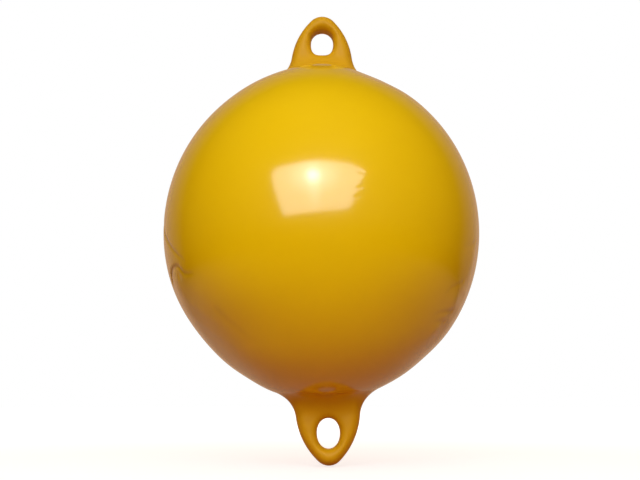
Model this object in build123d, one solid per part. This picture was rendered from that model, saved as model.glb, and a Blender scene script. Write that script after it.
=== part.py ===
from build123d import *
from math import asin, atan2, cos, degrees, radians, sin
import os

os.makedirs("parts", exist_ok=True)

# Anchor buoy: a hollow ball of soft vinyl, blown up through a screw valve, with a thick moulded
# rope eye at each pole. The eyes and the ball are moulded of the same vinyl.
# Millimetres, +Z up along the ball's axis. The origin lies on that axis at the waterline,
# the flat sides of the eyes face -Y and +Y, and the valve is on the +Y side.

# The ball, an ellipsoid a little taller than wide
ball_diameter = 200.0
ball_height = 210.0
wall = 3.0
draught = 43.5

# The rope eyes, measured from the pole that each stands on
eye_reach = 40.6
eye_width = 40.4
eye_thickness = 16.5
eye_tip_radius = 9.5
eye_flank_radius = 44.7
eye_edge_radius = 4.2
hole_edge_radius = 3.0
hole_width = 14.1
hole_height = 18.4
upper_tip_wall = 9.3
lower_tip_wall = 10.4
root_radius = 36.0
root_fillet = 10.0

# The lower eye came out of its mould a little askew
lower_eye_shift = 3.8
lower_eye_lean = 1.5

# The valve: a moulded seat through the wall, and the screw that closes it
valve_angle = 48.0
seat_radius = 11.0
seat_rise = 1.6
seat_edge_radius = 1.0
seat_neck_radius = 7.5
seat_depth = 14.0
screw_head_radius = 6.0
screw_head_height = 2.6
screw_head_proud = 0.4
screw_head_edge = 0.4
screw_shank_radius = 3.5
screw_length = 12.0
screw_clearance = 0.1
slot_width = 1.4
slot_depth = 1.3

# How far a cutting solid runs past what it cuts
overrun = 1.0

ball_radius = ball_diameter / 2
ball_rise = ball_height / 2
equator_height = ball_rise - draught
rim_height = ball_rise * (1 - (root_radius / ball_radius) ** 2) ** 0.5
bore_radius = screw_shank_radius + screw_clearance
counterbore_radius = screw_head_radius + screw_clearance
counterbore_depth = screw_head_height - screw_head_proud
base_align = (Align.CENTER, Align.CENTER, Align.MIN)
top_align = (Align.CENTER, Align.CENTER, Align.MAX)


def ball_side(inset):
    """The ball's section between the two flat rims, a named depth under the skin."""
    rise = ball_rise - inset
    rim_angle = degrees(asin(rim_height / rise))
    return EllipticalCenterArc((0, 0), ball_radius - inset, rise, -rim_angle, arc_size=2 * rim_angle)


def ball_shell():
    """The ball's wall, open at both poles for the eyes' roots and at the shoulder for the valve."""
    outer = ball_side(0)
    inner = ball_side(wall)
    rims = [Line(outer @ end, inner @ end) for end in (0, 1)]
    section = make_face(Curve() + [outer, inner] + rims)
    shell = revolve(Plane.XZ * section, Axis.Z)
    return shell - valve_place() * Cylinder(seat_radius, 2 * seat_depth)


def eye_blank():
    """The flat shape of an eye with its pole at the origin: a pointed arch on straight legs."""
    tip_centre = eye_reach - eye_tip_radius
    reach = eye_flank_radius - eye_tip_radius
    turn = asin((eye_flank_radius - eye_width / 2) / reach)
    centre_x = eye_width / 2 - eye_flank_radius
    centre_z = tip_centre - reach * cos(turn)
    half_turn = (radians(90) - turn) / 2
    foot = (eye_width / 2, -root_radius)
    hip = (eye_width / 2, centre_z)
    flank = (centre_x + eye_flank_radius * cos(half_turn), centre_z + eye_flank_radius * sin(half_turn))
    neck = (eye_tip_radius * sin(turn), tip_centre + eye_tip_radius * cos(turn))
    right = [Line(foot, hip), ThreePointArc(hip, flank, neck)]
    left = [mirror(edge, Plane.YZ) for edge in right]
    tip = ThreePointArc(neck, (0, eye_reach), (-neck[0], neck[1]))
    base = Line(foot, (-foot[0], foot[1]))
    return make_face(Curve() + right + left + [tip, base])


def eye_lug(tip_wall):
    """The eye itself: the flat shape in its thickness, pierced, with both faces fully rounded."""
    blank = extrude(Plane.XZ * eye_blank(), eye_thickness / 2, both=True)
    hole_centre = eye_reach - tip_wall - hole_height / 2
    hole = Pos(0, hole_centre) * Ellipse(hole_width / 2, hole_height / 2)
    lug = blank - extrude(Plane.XZ * hole, eye_thickness, both=True)
    hole_edges = [edge for face in lug.faces().filter_by(Axis.Y) for edge in face.inner_wires()[0].edges()]
    lug = fillet(hole_edges, hole_edge_radius)
    outline = [edge for face in lug.faces().filter_by(Axis.Y) for edge in face.outer_wire().edges()]
    above_base = [edge for edge in outline if edge.center().Z > -root_radius / 2]
    return fillet(above_base, eye_edge_radius)


def rope_eye(shift, lean, tip_wall):
    """One eye on its root, the solid cap over the rim that closes the ball's pole."""
    rim_angle = degrees(asin(rim_height / ball_rise))
    dome = EllipticalCenterArc((0, 0), ball_radius, ball_rise, rim_angle, arc_size=90 - rim_angle)
    edge_line = Line((0, rim_height), dome @ 0)
    axis_line = Line(dome @ 1, (0, rim_height))
    cap = revolve(Plane.XZ * make_face(Curve() + [dome, edge_line, axis_line]), Axis.Z)
    above_rim = Pos(0, 0, rim_height) * Cylinder(root_radius, eye_reach + root_radius, align=base_align)
    lug = Pos(shift, 0, ball_rise) * Rot(0, lean, 0) * eye_lug(tip_wall) & above_rim
    eye = cap + lug
    return fillet(new_edges(cap, lug, combined=eye), root_fillet)


def valve_place():
    """Where the valve stands: on the ball's skin behind the upper eye, pointing straight out."""
    around = radians(valve_angle)
    out = ball_radius * cos(around)
    up = ball_rise * sin(around)
    slope = degrees(atan2(ball_radius * sin(around), ball_rise * cos(around)))
    return Pos(0, out, up) * Rot(slope - 90, 0, 0)


def valve_seat():
    """A round boss through the wall with a neck inside the ball, bored for the screw."""
    boss_depth = wall + seat_rise
    boss = Pos(0, 0, seat_rise) * Cylinder(seat_radius, boss_depth, align=top_align)
    boss = fillet(boss.edges().sort_by(Axis.Z)[-1], seat_edge_radius)
    neck = Cylinder(seat_neck_radius, seat_depth, align=top_align)
    bore = Cylinder(bore_radius, 2 * (seat_depth + overrun))
    counterbore = Pos(0, 0, seat_rise - counterbore_depth) * Cylinder(
        counterbore_radius, counterbore_depth + overrun, align=base_align)
    return valve_place() * (boss + neck - bore - counterbore)


def valve_screw():
    """A slotted plug whose head sits in the seat's counterbore."""
    under_head = seat_rise - counterbore_depth
    head = Pos(0, 0, under_head) * Cylinder(
        screw_head_radius, screw_head_height, align=base_align)
    head = chamfer(head.edges().sort_by(Axis.Z)[-1], screw_head_edge)
    shank = Pos(0, 0, under_head) * Cylinder(
        screw_shank_radius, screw_length, align=top_align)
    slot = Pos(0, 0, under_head + screw_head_height - slot_depth) * Box(
        2 * screw_head_radius + overrun, slot_width, slot_depth + overrun,
        align=base_align)
    return valve_place() * (head + shank - slot)


nodes = {
    "ball_shell": ball_shell(),
    "upper_eye": rope_eye(0, 0, upper_tip_wall),
    "lower_eye": Rot(0, 180, 0) * rope_eye(-lower_eye_shift, -lower_eye_lean, lower_tip_wall),
    "valve_seat": valve_seat(),
    "valve_screw": valve_screw(),
}

for name, solid in nodes.items():
    solid = Pos(0, 0, equator_height) * solid
    export_step(solid, f"parts/{name}.step")
    box = solid.bounding_box()
    print(name, len(solid.solids()), round(solid.volume), box.min, box.max)
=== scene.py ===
from math import asin, cos, degrees, pi, radians, sin

import bmesh
import bpy
import numpy as np
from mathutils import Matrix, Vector


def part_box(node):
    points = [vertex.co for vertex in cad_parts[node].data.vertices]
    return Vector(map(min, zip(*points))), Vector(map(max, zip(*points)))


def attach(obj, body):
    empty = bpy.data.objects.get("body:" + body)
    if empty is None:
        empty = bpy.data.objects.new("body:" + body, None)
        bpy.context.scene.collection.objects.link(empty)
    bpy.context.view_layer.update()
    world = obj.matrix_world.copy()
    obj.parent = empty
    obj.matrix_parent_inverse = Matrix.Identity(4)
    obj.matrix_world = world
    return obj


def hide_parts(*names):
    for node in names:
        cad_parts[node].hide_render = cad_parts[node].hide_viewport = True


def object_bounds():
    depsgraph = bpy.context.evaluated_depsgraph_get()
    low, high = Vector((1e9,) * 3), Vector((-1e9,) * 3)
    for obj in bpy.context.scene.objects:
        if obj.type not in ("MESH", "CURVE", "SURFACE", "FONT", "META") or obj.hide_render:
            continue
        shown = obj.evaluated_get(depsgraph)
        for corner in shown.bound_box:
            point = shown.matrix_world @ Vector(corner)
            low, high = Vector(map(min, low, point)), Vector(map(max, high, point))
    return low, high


# An anchor buoy of soft vinyl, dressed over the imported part: the ball's skin and the two rope
# eyes are rebuilt finely, as one smooth moulding in three pieces that meet at the flat rims.
# The sizes below are in millimetres in the ball's own frame, with its centre at the origin.

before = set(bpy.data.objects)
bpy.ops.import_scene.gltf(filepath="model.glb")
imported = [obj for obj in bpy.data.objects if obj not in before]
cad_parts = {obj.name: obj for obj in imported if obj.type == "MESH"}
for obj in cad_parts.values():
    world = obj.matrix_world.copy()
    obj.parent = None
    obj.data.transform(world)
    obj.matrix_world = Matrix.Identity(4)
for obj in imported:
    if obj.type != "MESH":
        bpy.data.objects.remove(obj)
cad_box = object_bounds()

MM = 0.001

# The ball and its rims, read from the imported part
shell_low, shell_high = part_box("ball_shell")
_, eye_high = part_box("upper_eye")
ball_radius = (shell_high.x - shell_low.x) / 2 / MM
rim_height = (shell_high.z - shell_low.z) / 2 / MM
centre_height = (shell_high.z + shell_low.z) / 2 / MM
root_radius = 36.0
ball_rise = rim_height / (1 - (root_radius / ball_radius) ** 2) ** 0.5
rim_latitude = degrees(asin(rim_height / ball_rise))
degree_length = radians(1) * ball_radius
wall = 3.0

# The rope eyes, measured from the pole that each stands on
eye_reach = eye_high.z / MM - centre_height - ball_rise
eye_width = 40.4
eye_thickness = 16.5
eye_flank_radius = 44.7
outer_round = 6.6
hole_round = 4.8
ring_softness = 1.2
face_crown = 0.9

# How full an oval hole's corners are: 2 is an ellipse, and more is squarer
plain_fullness = 2.1

# Each eye: its side, its set to the side and its lean in degrees, and its own sizes
upper_eye = {"side": 1, "shift": 0.2, "lean": 0.7, "tip_radius": 10.4, "tip_wall": 9.8,
             "hole_width": 14.7, "hole_height": 17.6, "fullness": 2.9, "root_fillet": 14.0}
lower_eye = {"side": -1, "shift": 3.8, "lean": 1.5, "tip_radius": 9.5, "tip_wall": 10.3,
             "hole_width": 14.3, "hole_height": 18.6, "fullness": plain_fullness,
             "root_fillet": 12.5}

# The valve's place on the back of the ball, and the skin's lip round its seat
valve_latitude = 48.0
seat_radius = 11.0
lip_height = 0.5
lip_width = 2.2

# From this latitude to the rims the ball's skin passes into the eyes' roots
root_latitude = 60.0

# The ball's columns and rows of faces: where each stretch starts and its spacing, in degrees. They
# are closest together at creases, nicks, roots and the valve.
column_stops = ((-180, 0.7), (-163, 2.4), (-86, 0.45), (-52, 1.6), (8.5, 0.35), (16, 1.6),
                (50, 0.5), (84, 2.4), (163, 0.7), (180, 0))
row_stops = ((-rim_latitude, 0.6), (-root_latitude, 1.2), (-42, 0.5), (13, 1.2), (34, 0.6),
             (58, 0.4), (rim_latitude, 0))

# The net that an eye is drawn on: half its width across, its overlap past the eye, and its mesh
net_half_width = 45.0
net_overlap = 2.0
net_spacing = 0.8

# A crease fades in over this share of its length, and its painted shade is full at this depth
crease_start_share = 0.1
crease_shade_depth = 0.8


# The skin

def path_distance(x, y, path):
    """Distance to a path and how far along it, all in the path's own units."""
    best = np.full(x.shape, 1e9)
    along = np.zeros(x.shape)
    lengths = [np.hypot(b[0] - a[0], b[1] - a[1]) for a, b in zip(path, path[1:])]
    total = sum(lengths)
    start = 0.0
    for (ax, ay), (bx, by), length in zip(path, path[1:], lengths):
        t = np.clip(((x - ax) * (bx - ax) + (y - ay) * (by - ay)) / length ** 2, 0, 1)
        reach = np.hypot(x - ax - t * (bx - ax), y - ay - t * (by - ay))
        closer = reach < best
        best = np.where(closer, reach, best)
        along = np.where(closer, (start + t * length) / total, along)
        start += length
    return best, along


def bump_at(around, up, place, spread, height):
    """A smooth swelling, or a dent where the height is negative, at a place on the ball."""
    turn = (around - place[0] + 180) % 360 - 180
    return height * np.exp(-(turn / spread[0]) ** 2 - ((up - place[1]) / spread[1]) ** 2)


# Shallow dents and swellings of the soft ball: place and spread in degrees, height in mm. A spread
# of 900 goes all the way round. The last four are nicks at the bright window's right edge.
skin_bumps = (
    ((-68, -44), (26, 17), -3.0),
    ((74, -50), (22, 8), -1.1),
    ((0, 64), (900, 11), 0.8),
    ((44, 63), (20, 8), -1.2),
    ((78, 58), (25, 5), -0.7),
    ((-90, 72), (30, 6), 1.0),
    ((0, 75), (50, 9), 2.4),
    ((180, 75), (50, 9), 2.4),
    ((-80, -74), (45, 6), 0.6),
    ((-80, -61), (45, 6), -0.5),
    ((80, -71), (40, 5), 0.5),
    ((-68, -21), (5, 3.5), 0.25),
    ((-63.2, -18.9), (1.6, 1.3), -0.22),
    ((68, -12), (4, 7), 0.35),
    ((62, -27), (4.5, 5), 0.5),
    ((59, -38), (4.5, 4.5), 0.5),
    ((-32, -23), (18, 9), 0.6),
    ((-32, -41), (20, 9), -0.6),
    ((36, -18), (16, 9), 0.5),
    ((36, -36), (18, 9), -0.5),
    ((12.6, 9.3), (1.4, 0.6), -0.06),
    ((13.4, 7.2), (1.3, 0.6), 0.035),
    ((12.2, 4.4), (1.4, 0.6), -0.06),
    ((11.4, 1.6), (1.3, 0.6), -0.05),
)

# Creases pressed into the flanks: path in degrees round and up, depth and half width in mm
creases = (
    (((-84, 4), (-77, -1.1), (-72.5, -4.2), (-68.6, -6.5), (-65.4, -8.6), (-62.7, -10.3),
      (-59.3, -12.4), (-55, -14.6)), 0.8, 1.3),
    (((-78, -21), (-73.8, -17.0), (-71, -15.9), (-68, -15.3), (-64.5, -15), (-61.6, -15.5),
      (-60.2, -16.8), (-58.6, -18), (-55.7, -18.7), (-51, -18.9)), 0.8, 1.3),
    (((70.5, -5), (65.3, -7.9), (61.1, -8.5), (58, -9)), 0.2, 1.5),
    (((65, -20), (59.7, -21.6), (56, -23), (52, -26)), 0.2, 1.6),
    (((66, -30.5), (60, -31), (55.1, -31.8), (51, -33)), 0.3, 1.5),
    (((64, -35), (60, -34.5), (54, -35.5)), 0.25, 1.5),
    (((-47, -30), (-42, -36), (-35, -43), (-30, -46)), 0.12, 2.2),
)

# Soft ripples: place, spread and the waves' way in degrees, their length and height in mm
ripples = (
    ((64, -31), (12, 14), 78, 10.0, 0.07),
    ((-62, -34), (14, 14), 52, 14.0, 0.05),
)


def crease_depth(around, up):
    """How deep the creases are pressed in at a place, in mm."""
    total = np.zeros(np.broadcast(around, up).shape)
    for path, depth, half_width in creases:
        squeeze = cos(radians(sum(p[1] for p in path) / len(path)))
        flat = [(a * squeeze * degree_length, u * degree_length) for a, u in path]
        reach, along = path_distance(around * squeeze * degree_length, up * degree_length, flat)
        fade = np.clip(along / crease_start_share, 0, 1) * (1 - along) ** 0.7
        total = total + depth * fade * np.exp(-(reach / half_width) ** 2)
    return total


def skin_height(around, up):
    """How far the skin stands off the plain ball, in mm, at degrees round from the front and up."""
    height = -crease_depth(around, up)
    for place, spread, size in skin_bumps:
        height = height + bump_at(around, up, place, spread, size)
    for place, spread, way, length, size in ripples:
        east = around * cos(radians(way)) * cos(radians(place[1]))
        across = (east + up * sin(radians(way))) * degree_length
        wave = np.sin(2 * pi * across / length)
        height = height + bump_at(around, up, place, spread, size) * wave
    off_valve = np.hypot(((around % 360) - 180) * degree_length * cos(radians(valve_latitude)),
                         (up - valve_latitude) * degree_length)
    off_seat = np.maximum(off_valve - seat_radius, 0)
    return height + lip_height * np.exp(-(off_seat / lip_width) ** 2)


def skin_points(around, up):
    """Points of the skin, in mm from the ball's centre."""
    a, u = np.radians(around), np.radians(up)
    height = skin_height(around, up)
    flat = (ball_radius + height) * np.cos(u)
    return np.stack([flat * np.sin(a), -flat * np.cos(a), (ball_rise + height) * np.sin(u)], -1)


def unit(vectors):
    """The same directions at length 1."""
    return vectors / np.linalg.norm(vectors, axis=-1, keepdims=True)


def skin_normals(around, up):
    """Outward normals of the skin."""
    step = 0.02
    east = skin_points(around + step, up) - skin_points(around - step, up)
    north = skin_points(around, up + step) - skin_points(around, up - step)
    return unit(np.cross(east, north))


def spaced(stops):
    """Angles from the first stop to the last, each stretch at its own spacing."""
    out = []
    for (start, spacing), (end, _) in zip(stops, stops[1:]):
        count = max(1, round((end - start) / spacing))
        out += [start + (end - start) * i / count for i in range(count)]
    return out


def make_object(name, vertices, faces, normals):
    """A piece from points in mm from the ball's centre, with its own normals."""
    mesh = bpy.data.meshes.new(name)
    place = vertices * MM + np.array([0, 0, centre_height * MM])
    mesh.from_pydata([tuple(v) for v in place], [], faces)
    mesh.update()
    mesh.normals_split_custom_set([tuple(n) for n in normals])
    piece = bpy.data.objects.new(name, mesh)
    bpy.context.scene.collection.objects.link(piece)
    return piece


# The rope eyes

def rounded_edge(side, face, radius):
    """Distance to a solid with two bounding surfaces whose shared edge is rounded off."""
    corner = np.hypot(np.maximum(side + radius, 0), np.maximum(face + radius, 0))
    return corner - radius + np.minimum(np.maximum(side, face) + radius, 0)


def arch_distance(x, z, tip_radius):
    """Distance to the eye's outline, a pointed arch on straight legs."""
    tip_centre = eye_reach - tip_radius
    reach = eye_flank_radius - tip_radius
    turn = asin((eye_flank_radius - eye_width / 2) / reach)
    centre_x = eye_width / 2 - eye_flank_radius
    centre_z = tip_centre - reach * cos(turn)
    side = np.abs(x)
    leg = side - eye_width / 2
    flank = np.hypot(side - centre_x, z - centre_z) - eye_flank_radius
    tip = np.hypot(side, z - tip_centre) - tip_radius
    angle = np.arctan2(z - centre_z, side - centre_x)
    return np.where(z < centre_z, leg, np.where(angle < pi / 2 - turn, flank, tip))


def hole_distance(x, z, eye):
    """Distance to the eye's hole, an oval whose corners nearer the ball may be fuller."""
    wide, high = eye["hole_width"] / 2, eye["hole_height"] / 2
    up = z - (eye_reach - eye["tip_wall"] - high)
    nearer = np.clip(0.5 - up / high / 2, 0, 1)
    fullness = plain_fullness + (eye["fullness"] - plain_fullness) * nearer
    u, v = np.abs(x) / wide, np.abs(up) / high
    size = (u ** fullness + v ** fullness + 1e-9) ** (1 / fullness)
    slope_x = (u / size) ** (fullness - 1) / wide
    slope_z = (v / size) ** (fullness - 1) / high
    return (size - 1) / np.maximum(np.hypot(slope_x, slope_z), 1e-3)


def ball_distance(p):
    """Distance to the skin of the ball, for points outside and near it."""
    around = np.degrees(np.arctan2(p[..., 0], -p[..., 1]))
    flat = np.hypot(p[..., 0], p[..., 1])
    up = np.degrees(np.arctan2(p[..., 2] / ball_rise, flat / ball_radius))
    height = skin_height(around, up)
    wide, tall = ball_radius + height, ball_rise + height
    near = np.sqrt((flat / wide) ** 2 + (p[..., 2] / tall) ** 2)
    slope = np.sqrt((flat / wide ** 2) ** 2 + (p[..., 2] / tall ** 2) ** 2)
    return near * (near - 1) / slope


def eye_distance(p, eye):
    """Distance to one rope eye and the ball under it."""
    x, y, z = p[..., 0] - eye["shift"], p[..., 1], eye["side"] * p[..., 2] - ball_rise
    tilt = radians(eye["lean"])
    x, z = x * cos(tilt) - z * sin(tilt), x * sin(tilt) + z * cos(tilt)
    edge = arch_distance(x, z, eye["tip_radius"])
    hole = -hole_distance(x, z, eye)
    across = np.clip((hole - edge) / np.maximum(-hole - edge, 1), -1, 1)
    face = np.abs(y) - eye_thickness / 2 + face_crown * across ** 2
    outer = rounded_edge(edge, face, outer_round)
    inner = rounded_edge(hole, face, hole_round)
    gap = np.maximum(ring_softness - np.abs(outer - inner), 0)
    ring = np.maximum(outer, inner) + gap ** 2 / (4 * ring_softness)
    ball = ball_distance(p)
    fillet = eye["root_fillet"]
    corner = np.hypot(np.maximum(fillet - ring, 0), np.maximum(fillet - ball, 0))
    return np.maximum(np.minimum(ring, ball), fillet) - corner


def gradient(distance, p, step=0.02):
    """Slope of a distance at points, by small steps along each axis."""
    out = np.empty(p.shape)
    for axis in range(3):
        shift = np.zeros(3)
        shift[axis] = step
        out[:, axis] = (distance(p + shift) - distance(p - shift)) / (2 * step)
    return out


def onto_surface(distance, points, rounds, least_steep=1e-6, level_only=False):
    """Points moved down the slope of a distance to the surface where it is zero."""
    for _ in range(rounds):
        slope = gradient(distance, points)
        if level_only:
            slope[:, 2] = 0
        steep = np.maximum((slope ** 2).sum(1, keepdims=True), least_steep)
        points = points - distance(points)[:, None] * slope / steep
    return points


def drawn_to_root(points, up, eye):
    """The skin's rows by a rim, moved level onto the eye's root there, and their normals.

    The last row lies at the rim's own height, so that the eye's flat base meets it.
    """

    def distance(p):
        return eye_distance(p, eye)

    plain = ball_rise * np.sin(np.radians(up))
    near_rim = np.clip((np.abs(up) - root_latitude) / (rim_latitude - root_latitude), 0, 1)
    level = points[..., 2] + near_rim * (plain - points[..., 2])
    rows = np.concatenate([points[..., :2], level[..., None]], -1).reshape(-1, 3)
    # The moves stay short where the surface is nearly level too
    rows = onto_surface(distance, rows, rounds=12, least_steep=0.02, level_only=True)
    normal = unit(gradient(distance, rows))
    return rows.reshape(points.shape), normal.reshape(points.shape)


def net_surface(distance, low, high, spacing):
    """A quad mesh over the places where a distance is zero, inside a box."""
    axes = [np.arange(a, b + spacing, spacing) for a, b in zip(low, high)]
    grid = np.stack(np.meshgrid(*axes, indexing="ij"), -1)
    inside = distance(grid) < 0
    corners = [inside[i:i - 1 or None, j:j - 1 or None, k:k - 1 or None]
               for i in (0, 1) for j in (0, 1) for k in (0, 1)]
    count = sum(c.astype(int) for c in corners)
    active = (count > 0) & (count < 8)
    index = np.full(active.shape, -1)
    index[active] = np.arange(active.sum())
    points = grid[:-1, :-1, :-1][active] + spacing / 2
    faces = []
    for axis in range(3):
        here = np.moveaxis(inside, axis, 0)
        cells = np.moveaxis(index, axis, 0)
        change = here[:-1] != here[1:]
        i, j, k = np.nonzero(change[:, 1:-1, 1:-1])
        j, k = j + 1, k + 1
        quad = np.stack([cells[i, j - 1, k - 1], cells[i, j, k - 1], cells[i, j, k],
                         cells[i, j - 1, k]], 1)
        flip = here[i, j, k] == (axis == 1)
        quad[flip] = quad[flip][:, ::-1]
        faces.append(quad)
    faces = np.concatenate(faces)
    return points, faces[(faces >= 0).all(1)]


def settle(points, faces, distance, rounds):
    """Moves each point of a net half way to its neighbours' middle, and then onto the surface."""
    ends = faces.reshape(-1)
    others = np.roll(faces, -1, axis=1).reshape(-1)
    number = sum(np.bincount(points_of, minlength=len(points)) for points_of in (ends, others))
    for _ in range(rounds):
        total = np.zeros(points.shape)
        for axis in range(3):
            total[:, axis] += np.bincount(ends, points[others, axis], len(points))
            total[:, axis] += np.bincount(others, points[ends, axis], len(points))
        points = points + 0.5 * (total / np.maximum(number, 1)[:, None] - points)
        points = onto_surface(distance, points, rounds=2)
    return points


def rope_eye(name, eye):
    """One rope eye on its root, cut off flat at the ball's rim."""

    def distance(p):
        return eye_distance(p, eye)

    side = eye["side"]
    low, high = sorted((side * (rim_height - net_overlap),
                        side * (ball_rise + eye_reach + net_overlap)))
    points, faces = net_surface(distance, (-net_half_width, -net_half_width, low),
                                (net_half_width, net_half_width, high), net_spacing)
    points = settle(points, faces, distance, rounds=4)
    shape = bmesh.new()
    places = [shape.verts.new(p) for p in points]
    for face in faces:
        shape.faces.new([places[v] for v in face])
    everything = shape.verts[:] + shape.edges[:] + shape.faces[:]
    bmesh.ops.bisect_plane(shape, geom=everything, plane_co=(0, 0, side * rim_height),
                           plane_no=(0, 0, side), clear_inner=True)
    rim = [edge for edge in shape.edges if edge.is_boundary]
    base = bmesh.ops.contextual_create(shape, geom=rim)["faces"]
    bmesh.ops.recalc_face_normals(shape, faces=shape.faces[:])
    shape.verts.index_update()
    vertices = np.array([v.co for v in shape.verts])
    smooth = unit(gradient(distance, vertices))
    quads, normals = [], []
    for face in shape.faces:
        quads.append([v.index for v in face.verts])
        flat = face in base
        normals += [(0, 0, -side) if flat else smooth[v.index] for v in face.verts]
    shape.free()
    return make_object(name, vertices, quads, normals)


def ball_skin():
    """The ball's wall: the dressed skin outside, a plain one inside, joined at both rims."""
    arounds = spaced(column_stops)
    ups = spaced(row_stops) + [rim_latitude]
    around, up = np.meshgrid(arounds, ups)
    outside = skin_points(around, up)
    outside_normals = skin_normals(around, up)
    for eye in (upper_eye, lower_eye):
        near = up[:, 0] * eye["side"] > root_latitude
        outside[near], outside_normals[near] = drawn_to_root(outside[near], up[near], eye)
    inside_rise = ball_rise - wall
    inner_up = degrees(asin(rim_height / inside_rise))
    inner_rows = 14
    inner_ups = np.linspace(-inner_up, inner_up, inner_rows)
    a, u = np.meshgrid(np.radians(arounds), np.radians(inner_ups))
    inner = ball_radius - wall
    inside = np.stack([inner * np.cos(u) * np.sin(a), -inner * np.cos(u) * np.cos(a),
                       inside_rise * np.sin(u)], -1)
    columns = len(arounds)
    vertices = np.concatenate([outside.reshape(-1, 3), inside.reshape(-1, 3)])
    smooth = unit(np.concatenate([outside_normals.reshape(-1, 3), -inside.reshape(-1, 3)]))
    base = outside.shape[0] * columns

    def vertex(row, column, start=0):
        return start + row * columns + column % columns

    faces, normals = [], []
    for row in range(len(ups) - 1):
        for c in range(columns):
            faces.append((vertex(row, c), vertex(row, c + 1),
                          vertex(row + 1, c + 1), vertex(row + 1, c)))
            normals += [smooth[v] for v in faces[-1]]
    for row in range(inner_rows - 1):
        for c in range(columns):
            faces.append((vertex(row, c, base), vertex(row + 1, c, base),
                          vertex(row + 1, c + 1, base), vertex(row, c + 1, base)))
            normals += [smooth[v] for v in faces[-1]]
    top, inner_top = len(ups) - 1, inner_rows - 1
    for c in range(columns):
        faces.append((vertex(0, c + 1), vertex(0, c), vertex(0, c, base),
                      vertex(0, c + 1, base)))
        normals += [(0, 0, -1)] * 4
        faces.append((vertex(top, c), vertex(top, c + 1), vertex(inner_top, c + 1, base),
                      vertex(inner_top, c, base)))
        normals += [(0, 0, 1)] * 4
    piece = make_object("ball_skin", vertices, faces, normals)
    # The creases' painted shade: darker where they are pressed deeper, kept on the skin's points
    crease_shade = piece.data.attributes.new("crease_shade", "FLOAT", "POINT")
    depth = np.zeros(len(vertices))
    depth[:base] = np.clip(crease_depth(around, up) / crease_shade_depth, 0, 1).reshape(-1)
    crease_shade.data.foreach_set("value", depth)
    return piece


# Materials

def linear(hex_colour):
    """An sRGB hex colour as the linear colour that Blender works in."""
    out = []
    for i in (1, 3, 5):
        c = int(hex_colour[i:i + 2], 16) / 255
        out.append(c / 12.92 if c <= 0.04045 else ((c + 0.055) / 1.055) ** 2.4)
    return (*out, 1.0)


def add(tree, kind, inputs=(), **settings):
    """Adds a node with its settings, and sets or links each input that is named."""
    made = tree.nodes.new(kind)
    for key, value in settings.items():
        setattr(made, key, value)
    for socket, value in dict(inputs).items():
        if isinstance(value, bpy.types.NodeSocket):
            tree.links.new(value, made.inputs[socket])
        else:
            made.inputs[socket].default_value = value
    return made


def new_material(name):
    """An empty material and its node tree."""
    material = bpy.data.materials.new(name)
    material.use_nodes = True
    material.node_tree.nodes.clear()
    return material, material.node_tree


def per_metre(millimetres):
    """The texture scale at which one cell of a pattern is this wide."""
    return 1 / (millimetres * MM)


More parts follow.
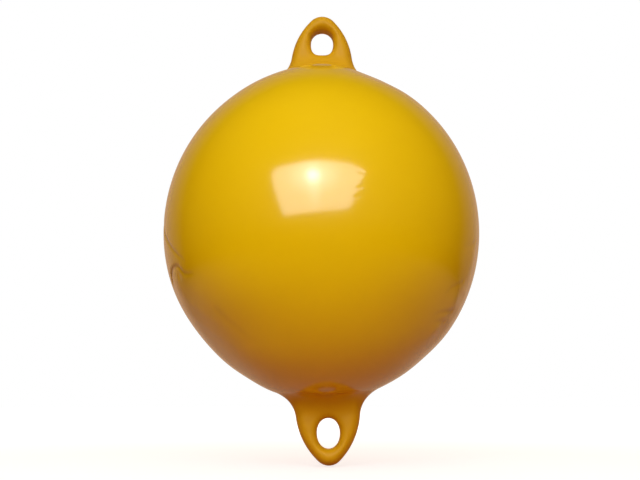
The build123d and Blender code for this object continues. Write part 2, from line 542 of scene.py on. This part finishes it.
def moulded_vinyl():
    """Plasticised PVC from a turning mould: a deep even yellow under a wet gloss, worn to a satin
    where ropes rub."""
    material, tree = new_material("moulded_vinyl")
    place = add(tree, "ShaderNodeTexCoord").outputs["Object"]
    # Faint clouds in the pigment, about 60 mm across
    clouds = add(tree, "ShaderNodeTexNoise", {"Vector": place, "Scale": per_metre(60),
                                              "Detail": 3.0})
    colour = add(tree, "ShaderNodeValToRGB", {"Fac": clouds.outputs["Fac"]})
    colour.color_ramp.elements[0].color = linear("#EFCF04")
    colour.color_ramp.elements[1].color = linear("#F5D706")
    # The mould's ripple, 22 mm from crest to crest, and a fine orange peel, 1.6 mm
    ripple = add(tree, "ShaderNodeTexNoise", {"Vector": place, "Scale": per_metre(22),
                                              "Detail": 2.0})
    peel = add(tree, "ShaderNodeTexNoise", {"Vector": place, "Scale": per_metre(1.6),
                                            "Detail": 1.0})
    rippled = add(tree, "ShaderNodeBump", {"Height": ripple.outputs["Fac"], "Strength": 0.15,
                                           "Distance": 0.4 * MM})
    peeled = add(tree, "ShaderNodeBump", {"Height": peel.outputs["Fac"], "Strength": 0.2,
                                          "Distance": 0.02 * MM,
                                          "Normal": rippled.outputs["Normal"]})
    # Ropes have rubbed the eyes, and the crown behind the upper one with a ragged edge
    axes = add(tree, "ShaderNodeSeparateXYZ", {"Vector": place})
    above_centre = add(tree, "ShaderNodeMath", {0: axes.outputs["Z"], 1: centre_height * MM},
                       operation="SUBTRACT")
    high_up = add(tree, "ShaderNodeMapRange", {"Value": above_centre.outputs[0],
                                               "From Min": 45 * MM, "From Max": 85 * MM},
                  interpolation_type="SMOOTHSTEP")
    worn = add(tree, "ShaderNodeTexNoise", {"Vector": place, "Scale": per_metre(35),
                                            "Detail": 6.0})
    ragged = add(tree, "ShaderNodeMath", {0: worn.outputs["Fac"], 1: 40 * MM,
                                          2: axes.outputs["Y"]}, operation="MULTIPLY_ADD")
    rear = add(tree, "ShaderNodeMapRange", {"Value": ragged.outputs[0], "From Min": 0.0,
                                            "From Max": 35 * MM},
               interpolation_type="SMOOTHSTEP")
    crown = add(tree, "ShaderNodeMath", {0: high_up.outputs["Result"], 1: rear.outputs["Result"]},
                operation="MULTIPLY")
    off_centre = add(tree, "ShaderNodeMath", {0: above_centre.outputs[0]}, operation="ABSOLUTE")
    on_eye = add(tree, "ShaderNodeMapRange", {"Value": off_centre.outputs[0],
                                              "From Min": 98.5 * MM, "From Max": 108 * MM},
                 interpolation_type="SMOOTHSTEP")
    rubbed = add(tree, "ShaderNodeMath", {0: on_eye.outputs["Result"], 1: crown.outputs[0]},
                 operation="MAXIMUM")
    # Painted shade: the eyes a duller, more orange yellow, and the creases brown in the folds
    crease_shade = add(tree, "ShaderNodeAttribute", attribute_name="crease_shade")
    shaded_eyes = add(tree, "ShaderNodeMix", {0: on_eye.outputs["Result"], 6: colour.outputs["Color"],
                                         7: linear("#DAAE06")}, data_type="RGBA")
    shaded_colour = add(tree, "ShaderNodeMix", {0: crease_shade.outputs["Fac"], 6: shaded_eyes.outputs[2],
                                         7: linear("#A8780E")}, data_type="RGBA")
    # The wet film is gone where ropes rub and under the creases' painted shade, and handling
    # dulls the ball in patches 35 mm across
    rubbed_and_crease_shade = add(tree, "ShaderNodeMath", {0: rubbed.outputs[0], 1: crease_shade.outputs["Fac"]},
               operation="MAXIMUM")
    film = add(tree, "ShaderNodeMath", {0: 1.0, 1: rubbed_and_crease_shade.outputs[0]}, operation="SUBTRACT")
    patches = add(tree, "ShaderNodeMapRange", {"Value": worn.outputs["Fac"], "From Min": 0.3,
                                               "From Max": 0.7, "To Min": 0.18, "To Max": 0.24})
    rough = add(tree, "ShaderNodeMath", {0: rubbed.outputs[0], 1: 0.3,
                                         2: patches.outputs["Result"]}, operation="MULTIPLY_ADD")
    # The vinyl's own sheen is weak, and the coat is the wet film over it
    shader = add(tree, "ShaderNodeBsdfPrincipled", {
        "Base Color": shaded_colour.outputs[2],
        "Roughness": rough.outputs[0],
        "IOR": 1.53,
        "Specular IOR Level": 0.28,
        "Normal": peeled.outputs["Normal"],
        "Coat Weight": film.outputs[0],
        "Coat Roughness": 0.11,
        "Coat IOR": 1.7,
        "Coat Normal": rippled.outputs["Normal"],
    })
    add(tree, "ShaderNodeOutputMaterial", {"Surface": shader.outputs["BSDF"]})
    return material


def moulded_nylon():
    """Injection-moulded nylon: a milky off-white with a dull, waxy sheen."""
    material, tree = new_material("moulded_nylon")
    place = add(tree, "ShaderNodeTexCoord").outputs["Object"]
    # A fine grain, 0.6 mm across
    grain = add(tree, "ShaderNodeTexNoise", {"Vector": place, "Scale": per_metre(0.6),
                                             "Detail": 2.0})
    raised = add(tree, "ShaderNodeBump", {"Height": grain.outputs["Fac"], "Strength": 0.3,
                                          "Distance": 0.03 * MM})
    rough = add(tree, "ShaderNodeMapRange", {"Value": grain.outputs["Fac"], "To Min": 0.4,
                                             "To Max": 0.55})
    shader = add(tree, "ShaderNodeBsdfPrincipled", {
        "Base Color": linear("#E6E0CF"),
        "Roughness": rough.outputs["Result"],
        "IOR": 1.53,
        "Normal": raised.outputs["Normal"],
    })
    add(tree, "ShaderNodeOutputMaterial", {"Surface": shader.outputs["BSDF"]})
    return material


# The buoy

vinyl = moulded_vinyl()
nylon = moulded_nylon()

skin = ball_skin()
upper = rope_eye("upper_rope_eye", upper_eye)
lower = rope_eye("lower_rope_eye", lower_eye)
for piece, node in ((skin, "ball_shell"), (upper, "upper_eye"), (lower, "lower_eye")):
    piece.data.materials.append(vinyl)
    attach(piece, "root")
    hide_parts(node)

for node, material in (("valve_seat", vinyl), ("valve_screw", nylon)):
    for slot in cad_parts[node].material_slots:
        slot.material = material


# The studio

floor_height = cad_box[0].z - 1 * MM
floor_size = 40.0

# What the gloss sees behind the object: a warm backdrop that comes up from the sides to the back
backdrop_colour = "#FFD1A8"
backdrop_level = {"From Min": 0.43, "From Max": 0.88, "To Min": 0.0, "To Max": 0.53}


def by_ray(tree, scattered, gloss, camera):
    """One shader out of three: for scattered light, for the gloss and for the camera."""
    seen = add(tree, "ShaderNodeLightPath")
    shown = add(tree, "ShaderNodeMath", {0: seen.outputs["Is Camera Ray"],
                                         1: seen.outputs["Is Transmission Ray"]},
                operation="MAXIMUM")
    unseen = add(tree, "ShaderNodeMixShader", {0: seen.outputs["Is Glossy Ray"],
                                               1: scattered.outputs[0], 2: gloss.outputs[0]})
    return add(tree, "ShaderNodeMixShader", {0: shown.outputs[0], 1: unseen.outputs[0],
                                             2: camera.outputs[0]})


def studio_floor():
    """The pale floor: white to the camera, with the object's shadow, and brown to the light."""
    material, tree = new_material("studio_floor")
    # The light that it throws back is tan from under the object and dark brown from both sides
    place = add(tree, "ShaderNodeTexCoord").outputs["Object"]
    from_middle = add(tree, "ShaderNodeSeparateXYZ", {"Vector": place})
    across = add(tree, "ShaderNodeMath", {0: from_middle.outputs["X"]}, operation="ABSOLUTE")
    sideways = add(tree, "ShaderNodeMapRange", {"Value": across.outputs[0], "From Min": 0.02,
                                                "From Max": 0.24})
    browned = add(tree, "ShaderNodeMix", {0: sideways.outputs["Result"], 6: linear("#B87450"),
                                          7: linear("#6A2E12")}, data_type="RGBA")
    dull = add(tree, "ShaderNodeBsdfDiffuse", {"Color": browned.outputs[2]})
    # The camera sees a pale floor that glows up to white away from the object
    bright = add(tree, "ShaderNodeBsdfDiffuse", {"Color": linear("#BFBFBF")})
    away = add(tree, "ShaderNodeVectorMath", {0: place}, operation="LENGTH")
    level = add(tree, "ShaderNodeMapRange", {"Value": away.outputs["Value"], "From Min": 0.25,
                                             "From Max": 1.2, "To Min": 0.72, "To Max": 1.0})
    glow = add(tree, "ShaderNodeEmission", {"Color": linear("#FFFFFF"),
                                            "Strength": level.outputs["Result"]})
    lit = add(tree, "ShaderNodeAddShader", {0: bright.outputs[0], 1: glow.outputs[0]})
    # In the gloss it shines as the backdrop does behind the object, and near it more dimly
    ball_height = centre_height * MM - floor_height
    from_ball = add(tree, "ShaderNodeVectorMath", {0: place, 1: (0, 0, ball_height)},
                    operation="SUBTRACT")
    way = add(tree, "ShaderNodeVectorMath", {0: from_ball.outputs[0]}, operation="NORMALIZE")
    axes = add(tree, "ShaderNodeSeparateXYZ", {"Vector": way.outputs[0]})
    behind = add(tree, "ShaderNodeMapRange", {"Value": axes.outputs["Y"], **backdrop_level})
    under = add(tree, "ShaderNodeMapRange", {"Value": axes.outputs["Y"], "From Min": -1.0,
                                             "From Max": 1.0, "To Min": 0.0, "To Max": 0.5})
    close = add(tree, "ShaderNodeMapRange", {"Value": away.outputs["Value"], "From Min": 0.15,
                                             "From Max": 0.9, "To Min": 1.0, "To Max": 0.0},
                interpolation_type="SMOOTHSTEP")
    dimmed = add(tree, "ShaderNodeMath", {0: under.outputs["Result"], 1: close.outputs["Result"]},
                 operation="MULTIPLY")
    both = add(tree, "ShaderNodeMath", {0: behind.outputs["Result"], 1: dimmed.outputs[0]},
               operation="MAXIMUM")
    shine = add(tree, "ShaderNodeEmission", {"Color": linear(backdrop_colour),
                                             "Strength": both.outputs[0]})
    final = by_ray(tree, scattered=dull, gloss=shine, camera=lit)
    add(tree, "ShaderNodeOutputMaterial", {"Surface": final.outputs[0]})
    return material


def studio_world():
    """White to the camera, a warm backdrop behind the object to the gloss, and a warm fill that is
    lower behind and more orange from the sides."""
    world = bpy.data.worlds.new("studio_world")
    world.use_nodes = True
    tree = world.node_tree
    tree.nodes.clear()
    direction = add(tree, "ShaderNodeTexCoord").outputs["Generated"]
    axes = add(tree, "ShaderNodeSeparateXYZ", {"Vector": direction})
    behind = add(tree, "ShaderNodeMapRange", {"Value": axes.outputs["Y"], **backdrop_level})
    turned = add(tree, "ShaderNodeMapRange", {"Value": axes.outputs["Y"], "From Min": -1.0,
                                              "From Max": 1.0})
    warmed = add(tree, "ShaderNodeMix", {0: turned.outputs["Result"], 6: linear("#FFF1E0"),
                                         7: linear("#FFDDB8")}, data_type="RGBA")
    across = add(tree, "ShaderNodeMath", {0: axes.outputs["X"]}, operation="ABSOLUTE")
    sideways = add(tree, "ShaderNodeMapRange", {"Value": across.outputs[0], "From Min": 0.2,
                                                "From Max": 1.0})
    fill_colour = add(tree, "ShaderNodeMix", {0: sideways.outputs["Result"],
                                              6: warmed.outputs[2],
                                              7: linear("#FFB47E")}, data_type="RGBA")
    fill_level = add(tree, "ShaderNodeMapRange", {"Value": axes.outputs["Y"], "From Min": -1.0,
                                                  "From Max": 0.8, "To Min": 0.94, "To Max": 0.4})
    fill = add(tree, "ShaderNodeBackground", {"Color": fill_colour.outputs[2],
                                              "Strength": fill_level.outputs["Result"]})
    gloss = add(tree, "ShaderNodeBackground", {"Color": linear(backdrop_colour),
                                               "Strength": behind.outputs["Result"]})
    white = add(tree, "ShaderNodeBackground", {"Color": linear("#FFFFFF"), "Strength": 1.0})
    final = by_ray(tree, scattered=fill, gloss=gloss, camera=white)
    add(tree, "ShaderNodeOutputWorld", {"Surface": final.outputs[0]})
    bpy.context.scene.world = world


def soft_lamp(name, place, target, width, height, level):
    """A soft lamp, aimed at a point. The level is its brightness, whatever its size."""
    light = bpy.data.lights.new(name, "AREA")
    light.shape = "RECTANGLE"
    light.size, light.size_y = width, height
    light.energy = level * pi * width * height
    lamp = bpy.data.objects.new(name, light)
    lamp.location = place
    lamp.rotation_euler = (Vector(target) - Vector(place)).to_track_quat("-Z", "Y").to_euler()
    bpy.context.scene.collection.objects.link(lamp)


# The front softbox: its corners in metres across and up its own face, from the face's middle, and
# on it the bright spots of the bulb and of the light below it: middle, size and strength
softbox_corners = ((-0.41, 0.295), (-0.435, 0.16), (-0.442, -0.25), (-0.40, -0.278),
                   (0.338, -0.195), (0.394, -0.145), (0.412, 0.02), (0.438, 0.262), (0.40, 0.30),
                   (0.29, 0.325), (-0.35, 0.325))
softbox_middle = (-0.05, -0.88, 0.30)
softbox_tilt = 49.0
cloth_level = 2.75
bulb = (-0.023, 0.19)
softbox_spots = ((bulb, (0.05, 0.05), 6.5),
                 (bulb, (0.17, 0.13), 2.2),
                 ((bulb[0], bulb[1] - 0.12), (0.05, 0.22), 1.1))


def softbox_glow():
    """The softbox's cloth: evenly lit, brighter round the bulb behind it and below it."""
    material, tree = new_material("softbox_glow")
    place = add(tree, "ShaderNodeTexCoord").outputs["Object"]
    spots = []
    for centre, size, strength in softbox_spots:
        near = add(tree, "ShaderNodeMapping", {"Vector": place, "Location": (*centre, 0),
                                               "Scale": (*size, 1)}, vector_type="TEXTURE")
        away = add(tree, "ShaderNodeVectorMath", {0: near.outputs[0]}, operation="LENGTH")
        spot = add(tree, "ShaderNodeMapRange", {"Value": away.outputs["Value"], "From Min": 0.0,
                                                "From Max": 2.0, "To Min": strength, "To Max": 0.0},
                   interpolation_type="SMOOTHERSTEP")
        spots.append(spot.outputs["Result"])
    total = spots[0]
    for spot in spots[1:]:
        total = add(tree, "ShaderNodeMath", {0: total, 1: spot}, operation="ADD").outputs[0]
    total = add(tree, "ShaderNodeMath", {0: total, 1: cloth_level}, operation="ADD").outputs[0]
    back = add(tree, "ShaderNodeNewGeometry")
    front = add(tree, "ShaderNodeMath", {0: 1.0, 1: back.outputs["Backfacing"]},
                operation="SUBTRACT")
    level = add(tree, "ShaderNodeMath", {0: total, 1: front.outputs[0]}, operation="MULTIPLY")
    glow = add(tree, "ShaderNodeEmission", {"Color": linear("#FFFBFB"),
                                            "Strength": level.outputs[0]})
    add(tree, "ShaderNodeOutputMaterial", {"Surface": glow.outputs[0]})
    return material


def front_softbox():
    """The softbox whose face shows as the bright window on the ball."""
    mesh = bpy.data.meshes.new("softbox")
    outline = list(reversed(range(len(softbox_corners))))
    mesh.from_pydata([(x, y, 0) for x, y in softbox_corners], [], [outline])
    mesh.materials.append(softbox_glow())
    box = bpy.data.objects.new("softbox", mesh)
    box.location = softbox_middle
    box.rotation_euler = (pi / 2 - radians(softbox_tilt), 0, 0)
    box.visible_camera = False
    bpy.context.scene.collection.objects.link(box)


bpy.ops.mesh.primitive_plane_add(size=floor_size, location=(0, 0, floor_height))
floor = bpy.context.object
floor.name = "studio_floor"
floor.data.materials.append(studio_floor())

studio_world()
front_softbox()
soft_lamp("back_window", place=(0, 1.35, 0.42), target=(0, 0, 0.06), width=0.28, height=0.2,
          level=9.0)

# The camera stands low in front of the buoy and looks up at it by this many radians
camera_tilt = 0.1682
camera_data = bpy.data.cameras.new("camera")
camera_data.lens = 55.199
camera_data.sensor_width = 36.0
camera_data.clip_start = 0.01
camera = bpy.data.objects.new("camera", camera_data)
camera.location = (-0.85 * MM, -620 * MM, -48.24 * MM)
camera.rotation_euler = (pi / 2 + camera_tilt, 0, 0)
bpy.context.scene.collection.objects.link(camera)
bpy.context.scene.camera = camera

bpy.context.scene.view_settings.view_transform = "Standard"
